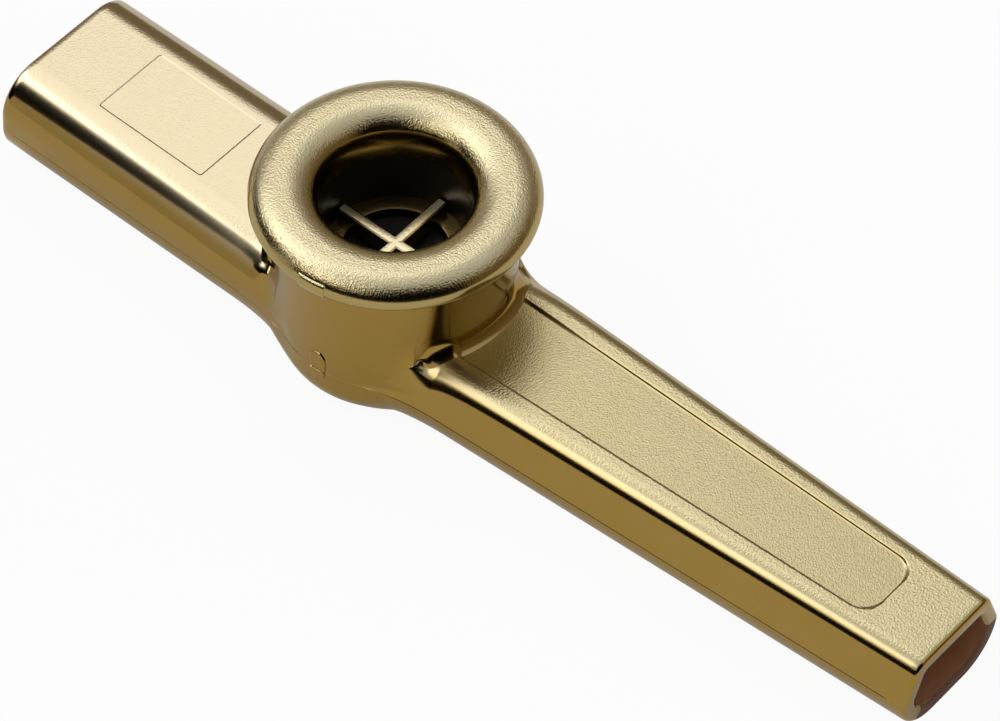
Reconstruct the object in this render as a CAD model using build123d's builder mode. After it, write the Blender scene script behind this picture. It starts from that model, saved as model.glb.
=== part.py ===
from build123d import *
import os
from math import cos, radians, sin, sqrt, tan

os.makedirs("parts", exist_ok=True)

# Sizes in millimetres: X runs along the body to the tail, Z is up, Z = 0 is the resting plane
# The turret stands on the Z axis

# Body of the kazoo
mouth_length = 47.15
mouth_lean = 3.4
tail_length = 73.3
seam_height = 5.3
body_height = 10.3
mouth_height = 12.25
turret_half_width = 10.7
mouth_half_width = 9.95
tail_half_width = 7.8
mouth_corner = 4.85
tail_corner = 2.0
tail_draft = 22.0
wall = 1.8
inner_corner_least = 1.0
end_bevel = 0.4

# Drum and neck that carry the turret
drum_radius = 12.9
drum_round = 3.0
flare_radius = 32.0
neck_height = 10.1
neck_wall = 1.95
cove_width = 1.25
cove_rise = 2.17
cove_radius = 2.5
mouth_cove_half_width = 5.0
tail_cove_half_width = 6.5

# Sunk panels on the top
square_panel_start = 22.96
square_panel_length = 14.67
square_panel_half_width = 4.9
square_panel_depth = 0.12
long_panel_gap = 0.2
long_panel_end = 65.6
long_panel_half_width = 5.59
long_panel_taper = 0.022
long_panel_corner = 2.5
long_panel_depth = 0.3

# Tongue of the lower shell that locates the upper shell
tongue_height = 1.0
tongue_root = 1.5
tongue_thickness = 0.8
tongue_fit = 0.05
tongue_setback = 3.0

# Film, its seat and the guard with the cross bars
seat_rise = 0.9
seat_thickness = 1.5
guard_width = 5.17
film_thickness = 0.08
film_margin = 0.9
guard_thickness = 1.22
guard_fit = 0.1
bar_width = 1.3
bar_side = 0.8
bar_height = 1.45
bar_fit = 0.2

# Cap of the turret
cap_fit = 0.05
cap_seat_gap = 0.05
spigot_length = 4.0
spigot_wall = 2.5
spigot_taper = 1.0
tube_wall = 1.55
throat_taper = 0.79
throat_round = 3.05
throat_drop = 4.15
flange_overhang = 2.38
crown_rise = 3.15
crown_flat = 0.85
rim_rise = 0.8
waist_angle = 25.0
rim_bevel = 0.68
tab_width = 3.3
tab_proud = 0.15
tab_height = 1.3
tab_depth = 1.1
tab_inset = 0.12
tab_angle = -83.8

# Levels and radii that follow from the sizes above
neck_top = body_height + neck_height
bore_radius = drum_radius - neck_wall
seat_top = body_height + seat_rise
seat_bottom = seat_top - seat_thickness
film_top = seat_top + film_thickness
guard_top = film_top + guard_thickness
tube_bottom = guard_top + cap_seat_gap
spigot_radius = bore_radius - cap_fit
guard_radius = bore_radius - guard_fit
film_radius = bore_radius - film_margin
film_hole_radius = guard_radius - guard_width
throat_radius = spigot_radius - spigot_wall
rim_radius = drum_radius + flange_overhang
tube_bore_radius = throat_radius - throat_taper
tube_radius = tube_bore_radius + tube_wall
bar_reach = tube_bore_radius - bar_fit
mouth_slope = (mouth_height - body_height) / mouth_length
end_run = 2.0


def outline(x, half, bottom, top, low_round, corner, draft):
    """One cross-section of the body: round below the seam, drafted above it."""
    lean = radians(draft)
    corner_z = top - corner
    side_z = corner_z + corner * sin(lean)
    side_y = half - (side_z - seam_height) * tan(lean)
    corner_y = side_y - corner * cos(lean)
    with BuildSketch(Plane.YZ.offset(x)) as section:
        with BuildLine():
            base = Line((0, bottom), (half - low_round, bottom))
            low = RadiusArc(base @ 1, (half, seam_height), -low_round)
            side = Line(low @ 1, (side_y, side_z))
            high = RadiusArc(side @ 1, (corner_y, top), -corner)
            Line(high @ 1, (0, top))
            mirror(about=Plane.YZ)
        make_face()
    return section.sketch


def mouth_top(run):
    """Height of the top at a distance from the turret axis towards the mouth."""
    return body_height + mouth_slope * run


def tail_top(run):
    """Height of the top at a distance from the turret axis towards the tail."""
    return body_height


def flare(slope):
    """Arc in plan that blends a straight side of the body into the drum."""
    square = sqrt(1 + slope ** 2)
    level = turret_half_width + flare_radius * square
    reach = drum_radius + flare_radius
    root = sqrt((level * slope) ** 2 - square ** 2 * (level ** 2 - reach ** 2))
    centre_x = (root - level * slope) / square ** 2
    centre_y = level + slope * centre_x
    start = centre_x * drum_radius / reach
    stop = centre_x + flare_radius * slope / square
    return centre_x, centre_y, start, stop


def branch(sign, length, end_half, top, corner, draft, spare):
    """Outside of the body from the drum to one end and a little past it, as a flare and a straight run."""
    slope = (end_half - turret_half_width) / length
    centre_x, centre_y, start, stop = flare(slope)
    runs = [start + (stop - start) * step / 4 for step in range(5)]
    with BuildPart() as near:
        for run in runs:
            half = centre_y - sqrt(flare_radius ** 2 - (run - centre_x) ** 2)
            add(outline(sign * run, half, 0, top(run), seam_height, corner, draft))
        loft()
    with BuildPart() as far:
        for run in (stop, length + spare):
            half = turret_half_width + slope * run
            add(outline(sign * run, half, 0, top(run), seam_height, corner, draft))
        loft(ruled=True)
    return near.part, far.part


def turned(stations):
    """Solid about the turret axis, through circles of the given radii and levels."""
    with BuildPart() as solid:
        for radius, level in stations:
            with BuildSketch(Plane.XY.offset(level)):
                Circle(radius)
        loft()
    return solid.part


def cove(sign, half_width, level):
    """Hollow rounding at the foot of the neck, widest on the centre line and fading to the sides."""
    front = drum_radius + cove_width
    edge = sqrt(drum_radius ** 2 - half_width ** 2)
    centre = (front ** 2 - drum_radius ** 2) / (2 * (front - edge))
    foot = front - centre
    with BuildPart() as crescent:
        with BuildSketch(Plane.XZ):
            with BuildLine():
                base = Line((0, level - wall / 2), (foot, level - wall / 2))
                rise = Line(base @ 1, (foot, level))
                blend = RadiusArc(rise @ 1, (foot - cove_width, level + cove_rise), cove_radius)
                back = Line(blend @ 1, (0, level + cove_rise))
                Line(back @ 1, base @ 0)
            make_face()
        revolve(axis=Axis.Z)
    return crescent.part.moved(Location((sign * centre, 0, 0)))


def hollow(inset):
    """Inside of the body: two straight passages and the chamber in the drum."""
    with BuildPart() as inside:
        Cylinder(drum_radius - inset, seat_bottom - inset, align=(Align.CENTER, Align.CENTER, Align.MIN))
    passages = []
    for sign, length, end_half, top, corner, draft in (
        (-1, mouth_length, mouth_half_width, mouth_top, mouth_corner, 0.0),
        (1, tail_length, tail_half_width, tail_top, tail_corner, tail_draft),
    ):
        slope = (end_half - turret_half_width) / length
        side_inset = inset / cos(radians(draft))
        inner_corner = max(corner - inset, inner_corner_least)
        with BuildPart() as passage:
            for run in (0, drum_radius + wall, length - 2 * tongue_setback, length + end_run):
                half = turret_half_width + slope * run - side_inset
                low = seam_height - inset
                add(outline(sign * run, half, inset, top(run) - inset, low, inner_corner, draft))
            loft(ruled=True)
        passages.append(passage.part)
    return inside.part.moved(Location((0, 0, inset))) + passages[0] + passages[1]


# Outside of the whole body with its drum, before it is parted at the seam
mouth_near, mouth_far = branch(
    -1, mouth_length, mouth_half_width, mouth_top, mouth_corner, 0.0, mouth_height * tan(radians(mouth_lean))
)
tail_near, tail_far = branch(1, tail_length, tail_half_width, tail_top, tail_corner, tail_draft, 0.0)
mouth_plane = Plane(
    origin=(-mouth_length, 0, mouth_height),
    x_dir=(0, 1, 0),
    z_dir=(1, 0, -tan(radians(mouth_lean))),
)
mouth_cove = cove(-1, mouth_cove_half_width, mouth_top(drum_radius))
tail_cove = cove(1, tail_cove_half_width, body_height)

foot_angles = [radians(90 * step / 4) for step in range(5)]
drum_foot = turned(
    [(drum_radius - drum_round * (1 - sin(angle)), drum_round * (1 - cos(angle))) for angle in foot_angles]
)

with BuildPart() as outside:
    with Locations((0, 0, drum_round)):
        Cylinder(drum_radius, neck_top - drum_round, align=(Align.CENTER, Align.CENTER, Align.MIN))
    add(drum_foot)
    add(mouth_near)
    add(mouth_far)
    add(tail_near)
    add(tail_far)
    split(bisect_by=mouth_plane, keep=Keep.TOP)
    chamfer(outside.faces().sort_by(Axis.X)[0].edges(), end_bevel)
    chamfer(outside.faces().sort_by(Axis.X)[-1].edges(), end_bevel)
    add(tail_cove)
    add(mouth_cove)
    panel_middle = -(square_panel_start + square_panel_length / 2)
    panel_plane = Plane(
        origin=(panel_middle, 0, mouth_top(-panel_middle)),
        x_dir=(1, 0, -mouth_slope),
        z_dir=(mouth_slope, 0, 1),
    )
    with BuildSketch(panel_plane):
        Rectangle(square_panel_length, 2 * square_panel_half_width)
    extrude(amount=-square_panel_depth, mode=Mode.SUBTRACT)
    with BuildSketch(Plane.XY.offset(body_height)):
        end_half = long_panel_half_width - long_panel_taper * long_panel_end
        with BuildLine():
            Polyline(
                (0, -long_panel_half_width),
                (long_panel_end, -end_half),
                (long_panel_end, end_half),
                (0, long_panel_half_width),
                close=True,
            )
        make_face()
        fillet(vertices().group_by(Axis.X)[-1], long_panel_corner)
        Circle(drum_radius + cove_width + long_panel_gap, mode=Mode.SUBTRACT)
    extrude(amount=-long_panel_depth, mode=Mode.SUBTRACT)

body_inside = hollow(wall)
body_span = mouth_length + tail_length
body_middle = (tail_length - mouth_length) / 2

# Tongue inside the seam: its root joins the lower shell and its top stands free in the upper shell
tongue_core = hollow(wall + tongue_fit + tongue_thickness)
tongue_ring = hollow(wall + tongue_fit) - tongue_core
root_ring = body_inside - tongue_core

with BuildPart() as tongue:
    with Locations((body_middle, 0, seam_height - tongue_root)):
        Box(
            body_span - 2 * tongue_setback,
            4 * drum_radius,
            tongue_root + tongue_height,
            align=(Align.CENTER, Align.CENTER, Align.MIN),
        )
    add(tongue_ring, mode=Mode.INTERSECT)

with BuildPart() as tongue_foot:
    with Locations((body_middle, 0, seam_height - tongue_root)):
        Box(
            body_span - 2 * tongue_setback,
            4 * drum_radius,
            tongue_root,
            align=(Align.CENTER, Align.CENTER, Align.MIN),
        )
    add(root_ring, mode=Mode.INTERSECT)

# Lower shell: the base half with its locating tongue
with BuildPart() as lower_shell:
    add(outside.part)
    split(bisect_by=Plane.XY.offset(seam_height), keep=Keep.BOTTOM)
    add(body_inside, mode=Mode.SUBTRACT)
    add(tongue_foot.part)
    add(tongue.part)

# Upper shell: the top half with the neck, its bore and the seat for the film
with BuildPart() as upper_shell:
    add(outside.part)
    split(bisect_by=Plane.XY.offset(seam_height), keep=Keep.TOP)
    add(body_inside, mode=Mode.SUBTRACT)
    with Locations((0, 0, seat_top)):
        Cylinder(
            bore_radius,
            neck_top - seat_top,
            align=(Align.CENTER, Align.CENTER, Align.MIN),
            mode=Mode.SUBTRACT,
        )
    Cylinder(
        film_hole_radius,
        neck_top,
        align=(Align.CENTER, Align.CENTER, Align.MIN),
        mode=Mode.SUBTRACT,
    )

# Film that buzzes, lying on the seat
with BuildPart() as membrane:
    with Locations((0, 0, seat_top)):
        Cylinder(film_radius, film_thickness, align=(Align.CENTER, Align.CENTER, Align.MIN))

# Guard: a ring that holds the film down, with two crossed ridged bars
with BuildPart() as membrane_guard:
    with Locations((0, 0, film_top)):
        Cylinder(guard_radius, guard_thickness, align=(Align.CENTER, Align.CENTER, Align.MIN))
        Cylinder(
            film_hole_radius,
            guard_thickness,
            align=(Align.CENTER, Align.CENTER, Align.MIN),
            mode=Mode.SUBTRACT,
        )
    for plane in (Plane.YZ, Plane.XZ):
        with BuildSketch(plane):
            with BuildLine():
                Polyline(
                    (-bar_width / 2, guard_top - guard_thickness / 2),
                    (bar_width / 2, guard_top - guard_thickness / 2),
                    (bar_width / 2, guard_top + bar_side),
                    (0, guard_top + bar_height),
                    (-bar_width / 2, guard_top + bar_side),
                    close=True,
                )
            make_face()
        extrude(amount=bar_reach, both=True)

# Cap: flange, rounded throat, plug that slides in the neck and the moulding tab on the rim
with BuildPart() as turret_cap:
    with BuildSketch(Plane.XZ):
        with BuildLine():
            crown_z = neck_top + crown_rise
            throat_z = crown_z - throat_drop
            crest_r = throat_radius + throat_round
            throat = Line((tube_bore_radius, tube_bottom), (throat_radius, throat_z))
            EllipticalCenterArc((crest_r, throat_z), throat_round, throat_drop, 90, arc_size=90)
            crown = Line((crest_r, crown_z), (crest_r + crown_flat, crown_z))
            rim_z = neck_top + rim_rise
            rim_middle = (crest_r + crown_flat, rim_z)
            rim_run = rim_radius - crest_r - crown_flat
            rim_fall = crown_rise - rim_rise
            EllipticalCenterArc(rim_middle, rim_run, rim_fall, waist_angle, arc_size=90 - waist_angle)
            EllipticalCenterArc(rim_middle, rim_run, rim_fall, 0, arc_size=waist_angle)
            bevel = Line((rim_radius, rim_z), (rim_radius - rim_bevel, neck_top))
            under = Line(bevel @ 1, (spigot_radius, neck_top))
            plug = Line(under @ 1, (spigot_radius, neck_top - spigot_length))
            cone = Line(plug @ 1, (tube_radius, neck_top - spigot_length - spigot_taper))
            tube = Line(cone @ 1, (tube_radius, tube_bottom))
            Line(tube @ 1, throat @ 0)
        make_face()
    revolve(axis=Axis.Z)
    with Locations(Rotation(0, 0, tab_angle) * Location((rim_radius + tab_proud, 0, neck_top + tab_inset))):
        Box(
            tab_depth,
            tab_width,
            tab_height,
            align=(Align.MAX, Align.CENTER, Align.MIN),
        )

lower_shell.part.label = "lower_shell"
upper_shell.part.label = "upper_shell"
membrane.part.label = "membrane"
membrane_guard.part.label = "membrane_guard"
turret_cap.part.label = "turret_cap"

export_step(lower_shell.part, "parts/lower_shell.step")
export_step(upper_shell.part, "parts/upper_shell.step")
export_step(membrane.part, "parts/membrane.step")
export_step(membrane_guard.part, "parts/membrane_guard.step")
export_step(turret_cap.part, "parts/turret_cap.step")
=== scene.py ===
import math
import bmesh
import bpy
import numpy as np
from mathutils import Matrix, Vector


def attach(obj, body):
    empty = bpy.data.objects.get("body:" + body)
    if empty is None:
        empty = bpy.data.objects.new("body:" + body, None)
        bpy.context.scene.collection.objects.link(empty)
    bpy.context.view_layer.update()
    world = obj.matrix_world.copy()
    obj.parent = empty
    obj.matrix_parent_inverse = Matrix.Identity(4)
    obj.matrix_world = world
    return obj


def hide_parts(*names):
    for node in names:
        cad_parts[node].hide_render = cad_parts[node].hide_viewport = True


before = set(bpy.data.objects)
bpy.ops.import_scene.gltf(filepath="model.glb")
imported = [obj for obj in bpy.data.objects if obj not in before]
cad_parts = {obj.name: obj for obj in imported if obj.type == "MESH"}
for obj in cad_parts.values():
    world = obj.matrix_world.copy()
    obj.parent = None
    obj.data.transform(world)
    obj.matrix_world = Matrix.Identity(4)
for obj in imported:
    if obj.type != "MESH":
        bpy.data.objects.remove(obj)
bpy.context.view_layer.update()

# Sizes in millimetres and angles in degrees, most as in the solids; meshes are written in metres
mouth_length = 47.15
mouth_lean = math.tan(math.radians(3.4))
tail_length = 73.3
seam_height = 5.3
body_height = 10.3
mouth_height = 12.25
turret_half_width = 10.7
mouth_half_width = 9.95
tail_half_width = 7.8
mouth_corner = 4.85
tail_corner = 2.0
tail_draft = 22.0
wall = 1.8
drum_radius = 12.9
drum_round = 3.0
flare_radius = 32.0
neck_top = 20.4
bore_radius = 10.95
seat_top = 11.2
seat_bottom = 9.7
film_radius = 10.05
hole_radius = 5.68
guard_radius = 10.85
guard_bottom = 11.28
guard_top = 12.5
rim_radius = 15.28
cove_width = 1.25
cove_rise = 2.17
cove_fade = 14.0
cove_bend = (57, 70)
panel_end = 65.6
panel_half = 5.59
panel_taper = 0.022
panel_corner = 2.5
panel_depth = 0.28
square_start = 22.96
square_length = 14.67
square_half = 4.9
square_depth = 0.06
mouth_slope = (mouth_height - body_height) / mouth_length
chamber_radius = drum_radius - wall
groove = 0.08
blend_radius = 15.0
blend_reach = 3.0
blend_bend = (57, 72)
corner_start = 14.0
corner_growth = 0.5
corner_swell = 1.7
swell_start = 12.5
swell_fade = 2.6
lean_start = 34.0
tail_round = 0.5
mouth_round = 0.9
no_stop = 1e9
lip_steps = 12


def ramp(value, low, high):
    """Smooth step from 0 at low to 1 at high."""
    t = np.clip((np.asarray(value, float) - low) / (high - low), 0, 1)
    return t * t * (3 - 2 * t)


class Skin:
    """Collects grids of points as faces of one mesh, each with a material."""

    def __init__(self):
        self.points = []
        self.faces = []
        self.kinds = []

    def grid(self, rows, kind=0, flip=False, closed=False):
        rows = np.asarray(rows, float)
        count, width = rows.shape[:2]
        base = len(self.points)
        self.points.extend(rows.reshape(-1, 3).tolist())
        span = width if closed else width - 1
        for i in range(count - 1):
            for j in range(span):
                k = (j + 1) % width
                a, b = base + i * width + j, base + i * width + k
                c, d = base + (i + 1) * width + k, base + (i + 1) * width + j
                self.faces.append((a, d, c, b) if flip else (a, b, c, d))
                self.kinds.append(kind[i][j] if isinstance(kind, np.ndarray) else kind)

    def make(self, name, materials, angle=32.0, weld=0.002):
        mesh = bpy.data.meshes.new(name)
        mesh.from_pydata([[x * 0.001 for x in p] for p in self.points], [], self.faces)
        mesh.polygons.foreach_set("material_index", np.array(self.kinds, np.int32))
        work = bmesh.new()
        work.from_mesh(mesh)
        bmesh.ops.remove_doubles(work, verts=work.verts, dist=weld * 0.001)
        bmesh.ops.dissolve_degenerate(work, edges=work.edges, dist=weld * 0.0005)
        loose = [v for v in work.verts if not v.link_faces]
        bmesh.ops.delete(work, geom=loose, context="VERTS")
        work.to_mesh(mesh)
        work.free()
        for material in materials:
            mesh.materials.append(material)
        mesh.polygons.foreach_set("use_smooth", np.ones(len(mesh.polygons), bool))
        mesh.set_sharp_from_angle(angle=math.radians(angle))
        piece = bpy.data.objects.new(name, mesh)
        bpy.context.scene.collection.objects.link(piece)
        return piece


def lathe(profile, turn):
    """Rows of points that turn a profile of radius and height about the turret axis."""
    rows = []
    for radius, height in profile:
        rows.append(np.stack([radius * np.cos(turn), radius * np.sin(turn), np.full(len(turn), height)], 1))
    return np.array(rows)


full_turn = np.linspace(0, 2 * math.pi, 192, endpoint=False)


def lean_back(run, z):
    """How far the leaning mouth end carries a place along, growing towards the end."""
    return (mouth_height - z) * mouth_lean * float(ramp(run, lean_start, mouth_length))


class Branch:
    """One end of the body: its plan, its top and its rounded corners."""

    def __init__(self, sign, length, end_half):
        self.sign = sign
        self.length = length
        self.slope = (end_half - turret_half_width) / length
        square = math.sqrt(1 + self.slope ** 2)
        level = turret_half_width + flare_radius * square
        reach = drum_radius + flare_radius
        root = math.sqrt((level * self.slope) ** 2 - square ** 2 * (level ** 2 - reach ** 2))
        self.cx = (root - level * self.slope) / square ** 2
        self.cy = level + self.slope * self.cx
        self.start = self.cx * drum_radius / reach
        self.stop = self.cx + flare_radius * self.slope / square

    def half(self, run):
        if run < self.start:
            return math.sqrt(drum_radius ** 2 - run ** 2)
        if run < self.stop:
            return self.cy - math.sqrt(flare_radius ** 2 - (run - self.cx) ** 2)
        return turret_half_width + self.slope * run

    def top(self, run):
        return body_height + (mouth_slope * run if self.sign < 0 else 0)

    def corner(self, run):
        if self.sign < 0:
            return mouth_corner
        growth = corner_growth * (1 - (run - corner_start) / (tail_length - corner_start))
        return tail_corner + growth + corner_swell * math.exp(-max(0.0, run - swell_start) / swell_fade)

    def draft(self):
        return 0.0 if self.sign < 0 else math.radians(tail_draft)

    def slant(self, run):
        """Change of the half width along the branch."""
        if run < self.stop:
            return (run - self.cx) / math.sqrt(flare_radius ** 2 - (run - self.cx) ** 2)
        return self.slope

    def facing(self, run, share):
        """Outward direction on the positive side, where the section's normal has this share of Y."""
        out = np.array([-self.slant(run) * share, share, math.sqrt(max(0.0, 1 - share * share))])
        return out / np.linalg.norm(out)

    def shape(self, run, inset=0.0):
        """Key values of the section above the seam."""
        lean, corner = self.draft(), max(self.corner(run) - inset, 0.9)
        half, top = self.half(run) - inset / math.cos(lean), self.top(run) - inset
        corner_z = top - corner
        side_z = corner_z + corner * math.sin(lean)
        side_y = half - (side_z - seam_height) * math.tan(lean)
        corner_y = side_y - corner * math.cos(lean)
        side = (side_z - seam_height) / math.cos(lean)
        bend = corner * (math.pi / 2 - lean)
        return lean, corner, half, top, corner_z, side_y, corner_y, side, bend

    def at(self, shape, length):
        """Point of the section at a length from the seam."""
        lean, corner, half, top, corner_z, side_y, corner_y, side, bend = shape
        if length < side:
            return half - length * math.sin(lean), seam_height + length * math.cos(lean)
        if length < side + bend:
            a = lean + (length - side) / corner
            return corner_y + corner * math.cos(a), corner_z + corner * math.sin(a)
        return corner_y - (length - side - bend), top

    def reach(self, shape, y):
        """Length from the seam where the section has this half width, and the normal's share of Y there."""
        lean, corner, half, top, corner_z, side_y, corner_y, side, bend = shape
        if y <= corner_y:
            return side + bend + corner_y - y, 0.0
        if y <= side_y:
            a = math.acos(min(1.0, (y - corner_y) / corner))
            return side + corner * (a - lean), math.cos(a)
        if lean > 1e-4:
            return min(side, max(0.0, (half - y) / math.sin(lean))), math.cos(lean)
        return side, 1.0


mouth = Branch(-1, mouth_length, mouth_half_width)
tail = Branch(1, tail_length, tail_half_width)


def foot(branch, turn):
    """Foot of the neck at an angle from the branch: run, half width, length from the seam, cove width."""
    start_turn = math.acos(branch.start / drum_radius)
    fade = float(ramp(start_turn - turn, 0, math.radians(cove_fade)))
    width = cove_width * fade
    for _ in range(12):
        run, y = (drum_radius + width) * math.cos(turn), (drum_radius + width) * math.sin(turn)
        shape = branch.shape(max(run, branch.start))
        length, share = branch.reach(shape, y)
        out = branch.facing(max(run, branch.start), share)
        bend = math.degrees(math.acos(min(1.0, out[0] * math.cos(turn) + out[1] * math.sin(turn))))
        width = 0.5 * width + 0.5 * cove_width * fade * float(ramp(bend, *cove_bend))
    return run, y, length, width


def lip_rows(branch):
    """Angles from the drum's side to the middle of the branch, and the neck's foot at each."""
    turns = np.linspace(math.acos(branch.start / drum_radius), 0, 56)
    near = [foot(branch, t) for t in turns]
    first = 0.0 if branch.sign > 0 else branch.shape(branch.start)[7]
    near[0] = (branch.start, branch.half(branch.start), first, 0.0)
    return turns, near


def panel_sink(branch, run, y):
    """How far the top is sunk at a place, for the long panel and the square one."""
    if branch.sign > 0:
        edge = panel_half - panel_taper * run
        dx, dy = run - panel_end, abs(y) - edge
        corner, depth = panel_corner, panel_depth
    else:
        dx = abs(run - square_start - square_length / 2) - square_length / 2
        dy = abs(y) - square_half
        corner, depth = 0.35, square_depth
    qx, qy = dx + corner, dy + corner
    outside = math.hypot(max(qx, 0), max(qy, 0)) + min(max(qx, qy), 0) - corner
    return depth * float(ramp(-outside, 0.0, 0.34 if branch.sign > 0 else 0.16))


def near_edge(start, stop, edge, fine, coarse):
    """Positions from start to stop that crowd round an edge."""
    places = [start]
    while places[-1] < stop - 1e-6:
        gap = abs(places[-1] - edge)
        places.append(places[-1] + min(coarse, max(fine, 0.22 * gap + fine)))
    places[-1] = stop
    return places


def upper_half(skin, branch, side):
    """Outer skin of the upper shell on one side of one branch, from the drum to the end."""
    turns, near = lip_rows(branch)
    far_start = near[-1][0]
    if branch.sign > 0:
        panel_near, panel_fine, panel_past = 62.8, 65.4, 65.9
        runs = near_edge(far_start, panel_near, 0.0, 0.9, 0.9)[1:]
        runs += near_edge(panel_near, panel_past, panel_fine, 0.07, 0.14)[1:]
        runs += near_edge(panel_past, branch.length - tail_round, panel_past, 0.3, 0.8)[1:]
    else:
        square_stop = square_start + square_length
        runs = near_edge(far_start, square_start + 3, square_start, 0.035, 0.7)[1:]
        runs += near_edge(square_start + 3, square_stop - 3, 0.0, 0.7, 0.7)[1:]
        runs += near_edge(square_stop - 3, branch.length - mouth_round, square_stop, 0.035, 0.7)[1:]
    edge_at = (lambda run: panel_half - panel_taper * run) if branch.sign > 0 else (lambda run: square_half)
    up_side, round_corner, over_border = np.linspace(0, 1, 9), np.linspace(1, 2, 19), np.linspace(2, 3, 7)
    rise = np.concatenate([up_side[:-1], round_corner[:-1], over_border])
    crowd = np.array([0, .04, .08, .12, .16, .2, .25, .32, .42, .56, .75, 1.0, 1.3, 1.65, 2.0, 2.35, 2.7])
    columns = []

    def column(run, shape, stop_length, stop_y):
        """One section: up the side, round the corner, over the border to the panel, then over it."""
        lean, corner, half, top, corner_z, side_y, corner_y, bend_start, bend = shape
        edge = min(edge_at(run), corner_y)
        edge_length = bend_start + bend + corner_y - edge
        marks = np.where(rise < 1, rise * bend_start, np.where(
            rise < 2, bend_start + (rise - 1) * bend, bend_start + bend + (rise - 2) * (corner_y - edge)))
        if stop_length < edge_length:
            marks = marks * (stop_length / edge_length)
        marks = np.insert(marks, 1, min(groove, 0.5 * marks[1]))
        line = [branch.at(shape, m) for m in marks]
        inner = max(0.0, edge - stop_y) if stop_length >= edge_length else 0.0
        share = np.concatenate([crowd, 2.7 + (edge - 2.7) * np.linspace(0, 1, 6)[1:]]) / edge
        for s in share:
            if inner > 0:
                line.append((edge - s * inner, top))
            else:
                line.append(line[len(rise)])
        return line

    for run, y, length, width in near:
        columns.append((run, column(run, branch.shape(run), length, y)))
    for run in runs:
        columns.append((run, column(run, branch.shape(run), no_stop, 0.0)))
    rows = []
    for run, line in columns:
        row = []
        for y, z in line:
            sunk = panel_sink(branch, run, y) if z > branch.top(run) - 1e-6 else 0.0
            x = branch.sign * run
            if branch.sign < 0:
                x -= lean_back(run, z)
            row.append((x, side * y, z - sunk))
        rows.append(row)
    rows = np.array(rows)
    first_panel = len(rise)
    kind = np.zeros((rows.shape[0] - 1, rows.shape[1] - 1), int)
    for i in range(kind.shape[0]):
        run = (columns[i][0] + columns[i + 1][0]) / 2
        for j in range(first_panel, kind.shape[1]):
            y = (columns[i][1][j][0] + columns[i][1][j + 1][0]) / 2
            if branch.sign > 0 and panel_sink(branch, run, y) > 0.9 * panel_depth:
                kind[i][j] = 1
    if branch.sign < 0:
        kind[:, :] = 2
    skin.grid(rows, kind, flip=(branch.sign * side > 0))
    return rows, near, turns


scene = bpy.context.scene


def camera():
    """Camera of the photograph: its place and turn are those at which the solids lie on the picture."""
    azimuth, elevation, roll = math.radians(39.247), math.radians(50.614), math.radians(1.196)
    aim, away = Vector((0.011324, 0.003679, 0)), 0.574182
    film_width, picture_width, focal_pixels = 36.0, 1000, 5451.366
    level_share = math.cos(elevation)
    back = Vector((math.sin(azimuth) * level_share, -math.cos(azimuth) * level_share, math.sin(elevation)))
    right = Vector((math.cos(azimuth), math.sin(azimuth), 0))
    up = back.cross(right)
    level = right * math.cos(roll) + up * math.sin(roll)
    upright = up * math.cos(roll) - right * math.sin(roll)
    data = bpy.data.cameras.new("camera")
    data.sensor_width = film_width
    data.lens = film_width * focal_pixels / picture_width
    data.clip_start, data.clip_end = 0.01, 50
    eye = bpy.data.objects.new("camera", data)
    scene.collection.objects.link(eye)
    turn = Matrix((level, upright, back)).transposed()
    eye.matrix_world = Matrix.Translation(aim + back * away) @ turn.to_4x4()
    scene.camera = eye


camera()
scene.view_settings.view_transform = "Standard"


def shader(name):
    """New material with its Principled shader, and helpers to add nodes and links."""
    material = bpy.data.materials.new(name)
    material.use_nodes = True
    nodes, links = material.node_tree.nodes, material.node_tree.links
    base = nodes["Principled BSDF"]

    def add(kind, **settings):
        node = nodes.new(kind)
        for key, value in settings.items():
            if hasattr(node, key):
                setattr(node, key, value)
            else:
                node.inputs[key].default_value = value
        return node

    return material, base, add, links.new


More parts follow.
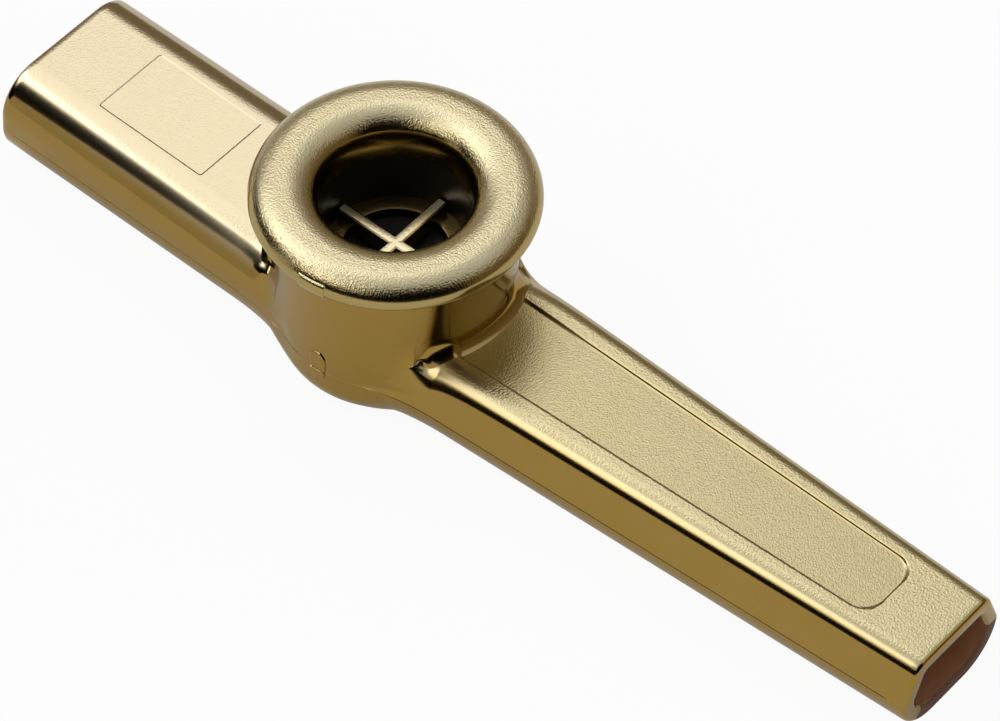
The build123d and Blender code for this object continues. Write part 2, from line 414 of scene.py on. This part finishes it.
def gold(name, light, dark, rough, grain, size, fine, level=(0.88, 0.99)):
    """Metallised plastic: satin grain on what faces up, smoother on the sides; its colour is painted light
    and shade, lighter where the surface faces up and darker on the sides.
    """
    material, base, add, link = shader(name)
    place = add("ShaderNodeTexCoord")
    facing = add("ShaderNodeNewGeometry")
    split = add("ShaderNodeSeparateXYZ")
    link(facing.outputs["Normal"], split.inputs[0])
    upward = add("ShaderNodeMapRange", interpolation_type="SMOOTHSTEP")
    upward.inputs["From Min"].default_value = 0.55
    upward.inputs["From Max"].default_value = 0.97
    link(split.outputs["Z"], upward.inputs["Value"])
    flat = add("ShaderNodeMapRange", interpolation_type="SMOOTHSTEP")
    flat.inputs["From Min"].default_value, flat.inputs["From Max"].default_value = level
    link(split.outputs["Z"], flat.inputs["Value"])
    pebble = add("ShaderNodeTexNoise", Scale=1.0 / size, Detail=1.5, Roughness=0.45)
    link(place.outputs["Object"], pebble.inputs["Vector"])
    dust = add("ShaderNodeTexNoise", Scale=5200.0, Detail=1.0, Roughness=0.5)
    link(place.outputs["Object"], dust.inputs["Vector"])
    height = add("ShaderNodeMath", operation="MULTIPLY")
    link(pebble.outputs["Fac"], height.inputs[0])
    link(flat.outputs["Result"], height.inputs[1])
    both = add("ShaderNodeMath", operation="MULTIPLY_ADD")
    link(dust.outputs["Fac"], both.inputs[0])
    both.inputs[1].default_value = fine
    link(height.outputs[0], both.inputs[2])
    bump = add("ShaderNodeBump", Strength=1.0, Distance=grain)
    link(both.outputs[0], bump.inputs["Height"])
    link(bump.outputs["Normal"], base.inputs["Normal"])
    cloud = add("ShaderNodeTexNoise", Scale=260.0, Detail=4.0, Roughness=0.6)
    link(place.outputs["Object"], cloud.inputs["Vector"])
    # Painted light and shade: the colour runs from the dark colour on the sides to the light one on what
    # faces up.
    mix = add("ShaderNodeMix", data_type="RGBA")
    mix.inputs[6].default_value = (*dark, 1)
    mix.inputs[7].default_value = (*light, 1)
    shade = add("ShaderNodeMath", operation="MULTIPLY_ADD")
    link(upward.outputs["Result"], shade.inputs[0])
    shade.inputs[1].default_value = 0.9
    tone = add("ShaderNodeMath", operation="MULTIPLY")
    link(cloud.outputs["Fac"], tone.inputs[0])
    tone.inputs[1].default_value = 0.1
    link(tone.outputs[0], shade.inputs[2])
    link(shade.outputs[0], mix.inputs[0])
    link(mix.outputs[2], base.inputs["Base Color"])
    gloss = add("ShaderNodeMapRange")
    gloss.inputs["To Min"].default_value = rough[0]
    gloss.inputs["To Max"].default_value = rough[1]
    link(upward.outputs["Result"], gloss.inputs["Value"])
    link(gloss.outputs["Result"], base.inputs["Roughness"])
    base.inputs["Metallic"].default_value = 1.0
    return material


# Darker colour of the body's gold on its sides: painted shade.
side_gold_painted_shade = (0.355, 0.222, 0.046)
# Lit and shaded copies of one gold, as painted light: the mouth's top is lighter and the long panel darker
# than the border, for brighter and dimmer reflections; the neck's, cap's and guard's colours are set to stand
# in for the light and reflections they catch.
body_border = gold("gold_border", (0.6, 0.52, 0.305), side_gold_painted_shade, (0.15, 0.27), 0.000045, 0.00024, 0.04)
body_panel = gold("gold_panel", (0.54, 0.468, 0.263), side_gold_painted_shade, (0.15, 0.27), 0.000038, 0.00018, 0.04)
body_mouth = gold("gold_mouth", (0.625, 0.537, 0.366), side_gold_painted_shade, (0.1, 0.21), 0.000021, 0.00022, 0.08)
neck_gold = gold("gold_neck", (0.50, 0.39, 0.16), side_gold_painted_shade, (0.14, 0.18), 0.000008, 0.00030, 0.15)
cap_gold = gold("gold_cap", (0.72, 0.635, 0.405), (0.42, 0.31, 0.105), (0.18, 0.30), 0.00006, 0.0002, 0.05,
                (0.35, 0.85))
guard_gold = gold("gold_guard", (0.75, 0.65, 0.42), (0.32, 0.25, 0.12), (0.18, 0.28), 0.00002, 0.00040, 0.20)
# Near-black gold for the guard's ring: painted shade for the dark it lies in.
ring_gold_painted_shade = gold("gold_ring_painted_shade", (0.1, 0.07, 0.027), (0.03, 0.02, 0.01), (0.16, 0.22), 0.00002, 0.00040, 0.20)


def plastic(name, deep, light, rough):
    """Bare moulded plastic inside, with faint flow marks; its darker and near-black copies are painted shade.
    """
    material, base, add, link = shader(name)
    place = add("ShaderNodeTexCoord")
    flow = add("ShaderNodeTexNoise", Scale=320.0, Detail=4.0, Roughness=0.55)
    link(place.outputs["Object"], flow.inputs["Vector"])
    mix = add("ShaderNodeMix", data_type="RGBA")
    mix.inputs[6].default_value = (*deep, 1)
    mix.inputs[7].default_value = (*light, 1)
    link(flow.outputs["Fac"], mix.inputs[0])
    link(mix.outputs[2], base.inputs["Base Color"])
    fleck = add("ShaderNodeTexNoise", Scale=2600.0, Detail=2.0)
    link(place.outputs["Object"], fleck.inputs["Vector"])
    bump = add("ShaderNodeBump", Strength=0.6, Distance=0.00002)
    link(fleck.outputs["Fac"], bump.inputs["Height"])
    link(bump.outputs["Normal"], base.inputs["Normal"])
    base.inputs["Roughness"].default_value = rough
    return material


inside = plastic("inside", (0.26, 0.115, 0.05), (0.37, 0.165, 0.075), 0.42)
# Darker copy of the inside plastic for the tail's cut lip: bare plastic, painted darker as shade.
cut_edge_painted_shade = plastic("cut_edge_painted_shade", (0.1, 0.04, 0.018), (0.15, 0.06, 0.026), 0.62)
# Near-black plastic for the lower throat: painted shade for the dark inside the neck.
deep = plastic("deep", (0.004, 0.003, 0.002), (0.008, 0.005, 0.004), 0.36)
# Near-black film: painted shade for the dark under the guard.
film_painted_shade = plastic("film", (0.012, 0.011, 0.010), (0.022, 0.020, 0.016), 0.28)

upper = Skin()
tops = {}
for branch in (tail, mouth):
    for side in (-1, 1):
        tops[branch.sign, side] = upper_half(upper, branch, side)

# Neck: its foot on the body, the cove and the wall, in order of angle round the turret
ring_turn, ring_foot, ring_rise = [], [], []


def neck_run(branch, side, reverse):
    """Angles, foot points and cove heights of the neck over one side of one branch."""
    rows, near, turns = tops[branch.sign, side]
    order = range(len(turns) - 1, -1, -1) if reverse else range(len(turns))
    for i in order:
        angle = turns[i] * side
        if branch.sign < 0:
            angle = math.pi - angle
        ring_turn.append(angle % (2 * math.pi))
        ring_foot.append(rows[i][-1])
        ring_rise.append(cove_rise * near[i][3] / cove_width)


def drum_run(first, last, start, stop):
    """Lower wall of the drum between two branches, with its rows matched to both."""
    rise_count, steps = 36, 26
    a, b = first[0][:rise_count], last[0][:rise_count]
    angles = np.linspace(start, stop, steps)
    wall_rows = []
    for angle, t in zip(angles, np.linspace(0, 1, steps)):
        z = a[:, 2] * (1 - t) + b[:, 2] * t
        wall_rows.append(np.stack([np.full(len(z), drum_radius * math.cos(angle)),
                                   np.full(len(z), drum_radius * math.sin(angle)), z], 1))
    wall_rows[0], wall_rows[-1] = a, b
    upper.grid(np.array(wall_rows), 3)
    for angle, row in list(zip(angles, wall_rows))[1:-1]:
        ring_turn.append(angle % (2 * math.pi))
        ring_foot.append(row[-1])
        ring_rise.append(0.0)


tail_turn = math.acos(tail.start / drum_radius)
mouth_turn = math.acos(mouth.start / drum_radius)
neck_run(tail, 1, True)
drum_run(tops[1, 1][0], tops[-1, 1][0], tail_turn, math.pi - mouth_turn)
neck_run(mouth, 1, False)
neck_run(mouth, -1, True)
drum_run(tops[-1, -1][0], tops[1, -1][0], math.pi + mouth_turn, 2 * math.pi - tail_turn)
neck_run(tail, -1, False)
ring_turn, ring_foot, ring_rise = np.array(ring_turn), np.array(ring_foot), np.array(ring_rise)
cove_rows = []
for k in np.linspace(0, 1, 9):
    row = []
    for angle, base, rise in zip(ring_turn, ring_foot, ring_rise):
        width = math.hypot(base[0], base[1]) - drum_radius
        if rise < 1e-4 or width < 1e-4:
            row.append(tuple(base))
            continue
        sweep = 2 * math.atan2(width, rise)
        radius = rise / math.sin(sweep)
        out = radius * (1 - math.cos(sweep * (1 - k)))
        fall = radius * math.sin(sweep * (1 - k))
        reach = drum_radius + out
        row.append((reach * math.cos(angle), reach * math.sin(angle), base[2] + rise - fall))
    cove_rows.append(row)
upper.grid(np.array(cove_rows), 3, closed=True)
wall_rows = []
low = np.array(cove_rows[-1])
for k in np.linspace(0, 1, 7):
    ring = low.copy()
    ring[:, 0], ring[:, 1] = drum_radius * np.cos(ring_turn), drum_radius * np.sin(ring_turn)
    ring[:, 2] = low[:, 2] * (1 - k) + (neck_top - 0.2) * k
    wall_rows.append(ring)
upper.grid(np.array(wall_rows), 3, closed=True)


def blend(skin):
    """Runs the drum's wall smoothly into the sides of the branches, and cuts the fine groove at the seam."""
    points = []
    for x, y, z in skin.points:
        branch = tail if x > 0 else mouth
        run, across, place = abs(x), abs(y), np.array([abs(x), abs(y), z])
        radius = max(math.hypot(x, y), 1e-6)
        drum_out = np.array([run / radius, across / radius, 0.0])
        if branch.start - 3 < run < branch.stop + 6 and z < neck_top:
            here = max(run, branch.start)
            shape = branch.shape(here)
            lean, corner, half, top, corner_z, side_y, corner_y, side, bend = shape
            side_z = corner_z + corner * math.sin(lean)
            if z <= side_z:
                edge, share = half - (z - seam_height) * math.tan(lean), math.cos(lean)
            else:
                a = math.asin(min(1.0, (z - corner_z) / corner))
                edge, share = corner_y + corner * math.cos(a), math.cos(a)
            out = branch.facing(here, share)
            turn = math.acos(min(1.0, float(out @ drum_out)))
            fade = float(ramp(z, seam_height, seam_height + 1.6))
            fade *= 1 - float(ramp(math.degrees(turn), *blend_bend))
            span = min(blend_radius * math.tan(turn / 2), blend_reach) * math.sin(turn) * fade
            away = abs((radius - drum_radius) - (across - edge) * out[1])
            if span > 1e-6 and away < span:
                mean = out + drum_out
                place = place + mean / np.linalg.norm(mean) * span / 4 * (1 - away / span) ** 2
        if abs(z - seam_height) < 1e-4:
            push = drum_out if radius < drum_radius + 0.02 else np.array([0.0, 1.0, 0.0])
            fade = 1 - float(ramp(run, branch.length - 2.5, branch.length - 1))
            place = place - groove * 0.85 * fade * push
        points.append((math.copysign(place[0], x), math.copysign(place[1], y), place[2]))
    skin.points = points


def scar(skin, places):
    """Low scar of the moulding gate on the front of the drum, by height, half width and how proud it is."""
    scar_middle = math.radians(-88)
    rows = []
    for z, half, proud in places:
        row = []
        for share, lift in ((-1.06, -0.05), (-1, 0.1), (-0.88, 0.16), (-0.3, 0.1), (0.2, 0.1),
                            (0.84, 0.18), (1, 0.12), (1.06, -0.05)):
            angle = scar_middle + share * half / drum_radius
            radius = drum_radius + min(lift, proud)
            row.append((radius * math.cos(angle), radius * math.sin(angle), z))
        rows.append(row)
    skin.grid(np.array(rows), 3)


blend(upper)
scar(upper, [(5.36, 0.95, -0.05), (5.42, 0.95, 0.18), (6.4, 1.0, 0.18), (7.3, 0.95, 0.18), (7.75, 0.62, 0.18),
             (8.0, 0.36, 0.1), (8.08, 0.3, -0.05)])
bore = [(drum_radius, neck_top - 0.2), (drum_radius - 0.06, neck_top - 0.06), (drum_radius - 0.2, neck_top)]
bore += [(bore_radius + 0.25, neck_top), (bore_radius + 0.07, neck_top - 0.07)]
bore += [(bore_radius, neck_top - 0.25), (bore_radius, seat_top + 0.1), (bore_radius - 0.1, seat_top)]
bore += [(hole_radius + 0.15, seat_top), (hole_radius, seat_top - 0.15), (hole_radius, seat_bottom)]
bore += [(chamber_radius, seat_bottom)]
upper.grid(lathe(bore, ring_turn), 3, closed=True)


def inner_line(branch, run, above):
    """Inner section of a passage on one side, from the seam to the middle."""
    shape = branch.shape(max(run, branch.start), wall)
    lean, corner, half, top, corner_z, side_y, corner_y, side, bend = shape
    if above:
        total = side + bend + corner_y
        return [branch.at(shape, total * k) for k in np.linspace(0, 1, 33)]
    low_round = seam_height - wall
    line = [(half - low_round + low_round * math.cos(a), seam_height - low_round * math.sin(a))
            for a in np.linspace(0, math.pi / 2, 17)]
    return line + [((half - low_round) * (1 - k), wall) for k in np.linspace(0, 1, 9)[1:]]


def passage(skin, branch, side, above):
    """Inner skin of a passage from the chamber to just inside its end, and the chamber's wall round it."""
    runs = [9.5] + list(np.linspace(12, branch.length - 0.3, 28))
    rows = []
    line = inner_line(branch, 8.0, above)
    limit = [(min(y, chamber_radius * 0.98), z) for y, z in line]
    rows.append([(branch.sign * math.sqrt(chamber_radius ** 2 - y ** 2), side * y, z) for y, z in limit])
    for run in runs:
        row = []
        for y, z in inner_line(branch, run, above):
            x = branch.sign * run
            if branch.sign < 0:
                x -= lean_back(run, z)
            row.append((x, side * y, z))
        rows.append(row)
    skin.grid(np.array(rows), 4, flip=(branch.sign * side < 0) == above)
    start = np.array(rows[0])
    other = start.copy()
    other[:, 2] = seat_bottom if above else wall
    skin.grid(np.array([start, other]), 4, flip=(branch.sign * side < 0) != above)


def lip(skin, branch, side, above, outer_last, kinds):
    """Rounded end of the wall, from the outer skin round to the passage."""
    rings = [np.array(outer_last)]
    end = branch.length
    run_last = end - (tail_round if branch.sign > 0 else mouth_round)
    outer_round, inner_round, quarter = 0.5, 0.3, math.pi / 2
    steps = [(end - outer_round + outer_round * math.sin(a), outer_round - outer_round * math.cos(a))
             for a in np.linspace(0.3, quarter, 6)]
    steps += [(end, 0.9), (end, wall - 0.35)]
    steps += [(end - inner_round + inner_round * math.cos(a), wall - inner_round * math.cos(a))
              for a in np.linspace(0.5, quarter, 4)]
    for run, inset in steps:
        ring = []
        for r in outer_rise(branch, outer_last, run_last, above):
            y, z = at_rise(branch, run, min(inset, wall), r, above)
            x = branch.sign * run
            if branch.sign < 0:
                x -= lean_back(run, z)
            ring.append((x, side * y, z))
        rings.append(ring)
    skin.grid(np.array(rings), kinds, flip=(branch.sign * side > 0) == above)


def low_shape(branch, run, inset=0.0):
    """Key values of the section below the seam: half width, corner width, corner height and base."""
    half = branch.half(run)
    flat = max(0.0, (drum_radius - drum_round) ** 2 - run ** 2) ** 0.5
    plain = half - seam_height
    level = 0.5 * (flat + plain + math.sqrt((flat - plain) ** 2 + 0.25))
    across = min(max(half - level, drum_round - 0.2), seam_height)
    lean = branch.draft()
    high = max(min(across, seam_height) - inset, 0.8)
    return half - inset / math.cos(lean), max(across - inset, 0.8), high, inset


def at_rise(branch, run, inset, r, above):
    """Point of a section by its share: 0 to 1 up the side, 1 to 2 round the corner, 2 to 3 to the middle."""
    if above:
        shape = branch.shape(run, inset)
        side, bend, corner_y = shape[7], shape[8], shape[6]
        length = r * side if r < 1 else side + (r - 1) * bend if r < 2 else side + bend + (r - 2) * corner_y
        return branch.at(shape, length)
    half, across, high, base = low_shape(branch, run, inset)
    if r < 1:
        return half, seam_height - r * (seam_height - base - high)
    if r < 2:
        a = (r - 1) * math.pi / 2
        return half - across + across * math.cos(a), base + high - high * math.sin(a)
    return (half - across) * (3 - r), base


def outer_rise(branch, outer_last, run, above):
    """Shares of the points of the outer skin's last section."""
    if not above:
        return low_shares
    corner_y = branch.shape(run)[6]
    shares = []
    for y in np.abs(np.array(outer_last)[:, 1]):
        shares.append(2 + (corner_y - y) / corner_y if y <= corner_y else None)
    known = list(np.concatenate([[0, 0.03], np.linspace(0, 1, 9)[1:-1], 1 + np.linspace(0, 1, 19)[:-1]]))
    return [k if s is None else s for s, k in zip(shares, known + [2.0] * len(shares))]


low_shares = [0, 0.03, 0.33, 0.67, 1, 1.01] + list(np.linspace(1, 2, 22)[1:-1]) + list(np.linspace(2, 3, 7))
lower = Skin()
low_ends = []
for branch in (tail, mouth):
    for side in (-1, 1):
        rows, near, turns = tops[branch.sign, side]
        lip(upper, branch, side, True, rows[-1], 2 if branch.sign < 0 else 5)
        passage(upper, branch, side, True)
        runs = list(np.linspace(0, branch.start, 14))[:-1] + [n[0] for n in near]
        far = [abs(r[0][0]) for r in rows[len(near):]]
        if branch.sign < 0:
            far = list(np.linspace(runs[-1], branch.length - mouth_round, 50))[1:]
        runs = runs + far
        low_rows = []
        for run in runs:
            line = []
            for r in low_shares:
                y, z = at_rise(branch, run, 0.0, r, False)
                x = branch.sign * run
                if branch.sign < 0:
                    x -= lean_back(run, z)
                line.append((x, side * y, z))
            low_rows.append(line)
        lower.grid(np.array(low_rows), 0, flip=(branch.sign * side < 0))
        low_ends.append((branch, side, low_rows[-1]))
blend(lower)
scar(lower, [(3.62, 0.4, -0.05), (3.7, 0.45, 0.1), (4.3, 0.8, 0.18), (5.18, 0.95, 0.18), (5.24, 0.95, -0.05)])
for branch, side, last in low_ends:
    # The tail's lower lip takes the darker cut-edge plastic: bare plastic painted darker as shade.
    bare_and_shaded = np.zeros((lip_steps, len(low_shares) - 1), int)
    if branch.sign > 0:
        bare_and_shaded[:, np.array(low_shares[1:]) > (0.02 if side > 0 else 1.6)] = 5
    lip(lower, branch, side, False, last, bare_and_shaded)
    passage(lower, branch, side, False)
turns = np.linspace(0, 2 * math.pi, 128, endpoint=False)
lower.grid(lathe([(chamber_radius, wall), (chamber_radius * 0.6, wall), (0.01, wall)], turns), 4, closed=True)

top_finish = [body_border, body_panel, body_mouth, neck_gold, inside, neck_gold]
shell_top = upper.make("upper_shell_skin", top_finish)
base_finish = [neck_gold, body_panel, body_mouth, neck_gold, inside, cut_edge_painted_shade]
shell_base = lower.make("lower_shell_skin", base_finish)

# Cap: bell throat, round flange with a fine lip under it, and the plug in the neck
crown_z, crest_r, crown_r, rim_z = 23.54, 11.45, 12.3, 21.2
rim_across, rim_high = rim_radius - 0.01 - crown_r, crown_z - rim_z


def oval(centre, across, high, first, last, count):
    """Points on an arc of an ellipse in a profile, by angle in degrees."""
    angles = np.radians(np.linspace(first, last, count))
    return [(centre[0] + across * math.cos(a), centre[1] + high * math.sin(a)) for a in angles]


rim = oval((crown_r, rim_z), rim_across, rim_high, 90, 0, 40)
throat = [(7.61, 12.55), (7.68, 13.6), (7.77, 15.5), (7.84, 17.0), (7.9, 18.4), (7.93, 19.4)]
throat += [(7.97, 20.2), (8.03, 20.8), (8.12, 21.3), (8.24, 21.7), (8.38, 21.98)]
throat += oval((crest_r, 20.3), 3.6, crown_z - 20.3, 145.6, 90, 36)
lip_line = [(15.25, 21.08), (15.2, 21.0), (15.13, 20.97), (15.1, 20.91), (15.12, 20.84), (15.02, 20.64)]
plug = [(14.84, 20.48), (14.6, 20.42), (12.9, 20.42), (10.95, 20.42), (10.88, 20.36), (10.88, 19.0)]
plug += [(10.88, 16.5), (10.7, 16.3), (9.3, 15.45), (9.16, 15.3), (9.16, 12.7), (9.06, 12.56), (7.61, 12.55)]
profile = throat + [(11.9, crown_z)] + rim + lip_line + plug
cap = Skin()
cap_turn = np.linspace(0, 2 * math.pi, 240, endpoint=False)
kinds = np.zeros((len(profile) - 1, len(cap_turn)), int)
# The lowest throat rows take the near-black material, painted shade; the plug takes the neck's gold.
shaded_throat_rows, plug_rows = 4, 10
kinds[:shaded_throat_rows, :] = 1
kinds[-plug_rows:, :] = 2
cap.grid(lathe(profile, cap_turn), kinds, flip=True, closed=True)

# Moulding tab on the rim: a low patch that follows the rim's round
tab_across = np.array([-1.7, -1.62, -1.5, -1.1, -0.5, 0, 0.5, 1.1, 1.5, 1.62, 1.7])
tab_middle = np.radians(-83.8)
tab_turn = tab_middle + tab_across / rim_radius
tab_proud = np.array([-0.06, 0.08, 0.13, 0.14, 0.14, 0.14, 0.14, 0.14, 0.13, 0.08, -0.06])
tab_line = [(14.9, 20.62, -0.06), (15.0, 20.64, 0.09), (15.12, 20.72, 0.14)]
tab_line += [(15.2, 20.95, 0.14), (15.24, 21.2, 0.14)]
for angle, proud in ((6, 0.14), (12, 0.14), (18, 0.14), (23, 0.14), (26, 0.09), (27.5, -0.06)):
    turn = math.radians(angle)
    tab_line.append((crown_r + rim_across * math.cos(turn), rim_z + rim_high * math.sin(turn), proud))
tab_rows = []
for radius, z, proud in tab_line:
    lift = np.minimum(tab_proud, proud)
    tab_rows.append(np.stack([(radius + lift) * np.cos(tab_turn), (radius + lift) * np.sin(tab_turn),
                              np.full(len(tab_turn), z)], 1))
cap.grid(np.array(tab_rows), 0)
cap_skin = cap.make("turret_cap_skin", [cap_gold, deep, neck_gold])

# Guard: a ring with a rounded bore, and two crossed bars with rounded tops
guard = Skin()
ring = [(guard_radius, guard_bottom), (guard_radius, guard_top - 0.12), (guard_radius - 0.12, guard_top)]
ring += [(8.0, guard_top), (hole_radius + 0.3, guard_top), (hole_radius + 0.09, guard_top - 0.09)]
ring += [(hole_radius, guard_top - 0.3), (hole_radius, guard_bottom), (guard_radius, guard_bottom)]
# The ring takes the second, near-black material: painted shade.
guard.grid(lathe(ring, full_turn), 1, closed=True)
bar_reach, bar_half, bar_low, bar_side, bar_ridge = 7.41, 0.65, 11.89, 13.3, 13.95
bar_line = [(-bar_half, bar_low), (-bar_half, bar_side), (-0.58, bar_ridge - 0.16)]
bar_line += [(-0.42, bar_ridge - 0.05), (0.0, bar_ridge)]
bar_line += [(-w, z) for w, z in reversed(bar_line[:-1])]
for along in ((1, 0), (0, 1)):
    across = (-along[1], along[0])
    rows = []
    for s in np.linspace(-bar_reach, bar_reach, 41):
        row = []
        for w, z in bar_line:
            row.append((along[0] * s + across[0] * w, along[1] * s + across[1] * w, z))
        rows.append(row)
    rows = np.array(rows)
    guard.grid(rows, 0)
    for end, flip in ((0, False), (-1, True)):
        middle = rows[end].mean(0)
        guard.grid(np.array([rows[end], np.repeat(middle[None], rows.shape[1], 0)]), 0, flip=flip)
guard_skin = guard.make("guard_skin", [guard_gold, ring_gold_painted_shade], angle=25)

# Film: a thin sheet, a little domed over the hole, coloured near black as painted shade for the dark under
# the guard; the sheet itself is clear
film = Skin()
film_turn = np.linspace(0, 2 * math.pi, 96, endpoint=False)
sheet = [(0.01, 11.24), (2.0, 11.235), (4.0, 11.225), (5.4, 11.212), (7.0, 11.21), (film_radius, 11.21)]
under = [(r, z - 0.008) for r, z in reversed(sheet)]
film.grid(lathe(sheet + under, film_turn), 0, flip=True, closed=True)
film_skin = film.make("film_skin", [film_painted_shade])

for piece, body, node, slot in (
    (shell_top, "body", "upper_shell", "body_gold"),
    (shell_base, "body", "lower_shell", "body_gold"),
    (guard_skin, "body", "membrane_guard", "guard_gold"),
    (film_skin, "body", "membrane", "film_clear"),
    (cap_skin, "cap", "turret_cap", "cap_gold"),
):
    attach(piece, body)
    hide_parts(node)


# Floor, cards, world and lamps
pale, card_black = (0.86, 0.86, 0.86), (0.004, 0.004, 0.004)


def floor():
    """Plain pale floor that keeps the object's shadow and shows white to the camera and in the metal."""
    camera_share, glossy_share = 0.93, 0.15
    mesh = bpy.data.meshes.new("floor")
    mesh.from_pydata([(-20, -20, 0), (20, -20, 0), (20, 20, 0), (-20, 20, 0)], [], [(0, 1, 2, 3)])
    ground = bpy.data.objects.new("floor", mesh)
    scene.collection.objects.link(ground)
    material, base, add, link = shader("floor")
    base.inputs["Base Color"].default_value = (*pale, 1)
    base.inputs["Roughness"].default_value = 0.9
    base.inputs["Specular IOR Level"].default_value = 0.0
    rays = add("ShaderNodeLightPath")
    seen = add("ShaderNodeMath", operation="MULTIPLY")
    link(rays.outputs["Is Camera Ray"], seen.inputs[0])
    seen.inputs[1].default_value = camera_share
    share = add("ShaderNodeMath", operation="MULTIPLY_ADD")
    link(rays.outputs["Is Glossy Ray"], share.inputs[0])
    share.inputs[1].default_value = glossy_share
    link(seen.outputs[0], share.inputs[2])
    glow = add("ShaderNodeEmission", Strength=1.0)
    mix = add("ShaderNodeMixShader")
    link(share.outputs[0], mix.inputs[0])
    link(base.outputs[0], mix.inputs[1])
    link(glow.outputs[0], mix.inputs[2])
    link(mix.outputs[0], material.node_tree.nodes["Material Output"].inputs["Surface"])
    mesh.materials.append(material)


def card(name, first, last, low, high, away, colour):
    """Curved studio card that only reflections see, by azimuth and height in degrees at a distance."""
    turns = np.radians(np.linspace(first, last, max(2, int(abs(last - first) / 4))))
    foot_z = max(0.001, away * math.tan(math.radians(low)))
    head_z = away * math.tan(math.radians(high))
    points = []
    for angle in turns:
        points.append((away * math.cos(angle), away * math.sin(angle), foot_z))
        points.append((away * math.cos(angle), away * math.sin(angle), head_z))
    board(name, points, colour)


def board(name, points, colour, shades=False):
    """Makes a strip of card from pairs of points, seen by reflections alone; some also shade the lamps."""
    faces = [(2 * i, 2 * i + 2, 2 * i + 3, 2 * i + 1) for i in range(len(points) // 2 - 1)]
    mesh = bpy.data.meshes.new(name)
    mesh.from_pydata(points, [], faces)
    sheet = bpy.data.objects.new(name, mesh)
    scene.collection.objects.link(sheet)
    material, base, add, link = shader(name)
    base.inputs["Base Color"].default_value = (*colour, 1)
    base.inputs["Roughness"].default_value = 1.0
    base.inputs["Specular IOR Level"].default_value = 0.0
    mesh.materials.append(material)
    sheet.visible_camera = False
    sheet.visible_diffuse = False
    sheet.visible_shadow = shades


def lamp(name, azimuth, height, away, size, power):
    """Soft rectangular lamp that looks at the object, by azimuth and height in degrees."""
    a, e = math.radians(azimuth), math.radians(height)
    place = Vector((math.cos(a) * math.cos(e), math.sin(a) * math.cos(e), math.sin(e))) * away
    data = bpy.data.lights.new(name, "AREA")
    data.shape = "RECTANGLE"
    data.size, data.size_y = size
    data.energy = power
    light = bpy.data.objects.new(name, data)
    scene.collection.objects.link(light)
    light.location = place
    light.rotation_mode = "QUATERNION"
    light.rotation_quaternion = place.to_track_quat("Z", "Y")


floor()
world = bpy.data.worlds.new("world")
scene.world = world
world.use_nodes = True
world.node_tree.nodes["Background"].inputs["Color"].default_value = (1, 1, 1, 1)
world.node_tree.nodes["Background"].inputs["Strength"].default_value = 0.6
lamp("left_softbox", -140, 48, 0.9, (0.95, 0.42), 2.4)
lamp("top_softbox", 160, 60, 1.0, (1.0, 0.5), 1.6)
card("dark_front", -190, -60, 0, 28, 0.6, card_black)
board("dark_mouth", [(-0.112, -0.095, 0.012), (-0.16, -0.095, 0.13),
                     (-0.055, -0.095, 0.1), (-0.103, -0.095, 0.25)], card_black, True)
board("pale_mouth", [(-0.112, -0.0945, 0.0005), (-0.112, -0.0945, 0.012),
                     (-0.044, -0.0945, 0.0005), (-0.055, -0.0945, 0.1)], pale, True)
card("dark_right", -70, 0, 0, 64, 0.62, card_black)
card("warm_back", 0, 165, 0, 39, 0.64, (0.26, 0.2, 0.12))
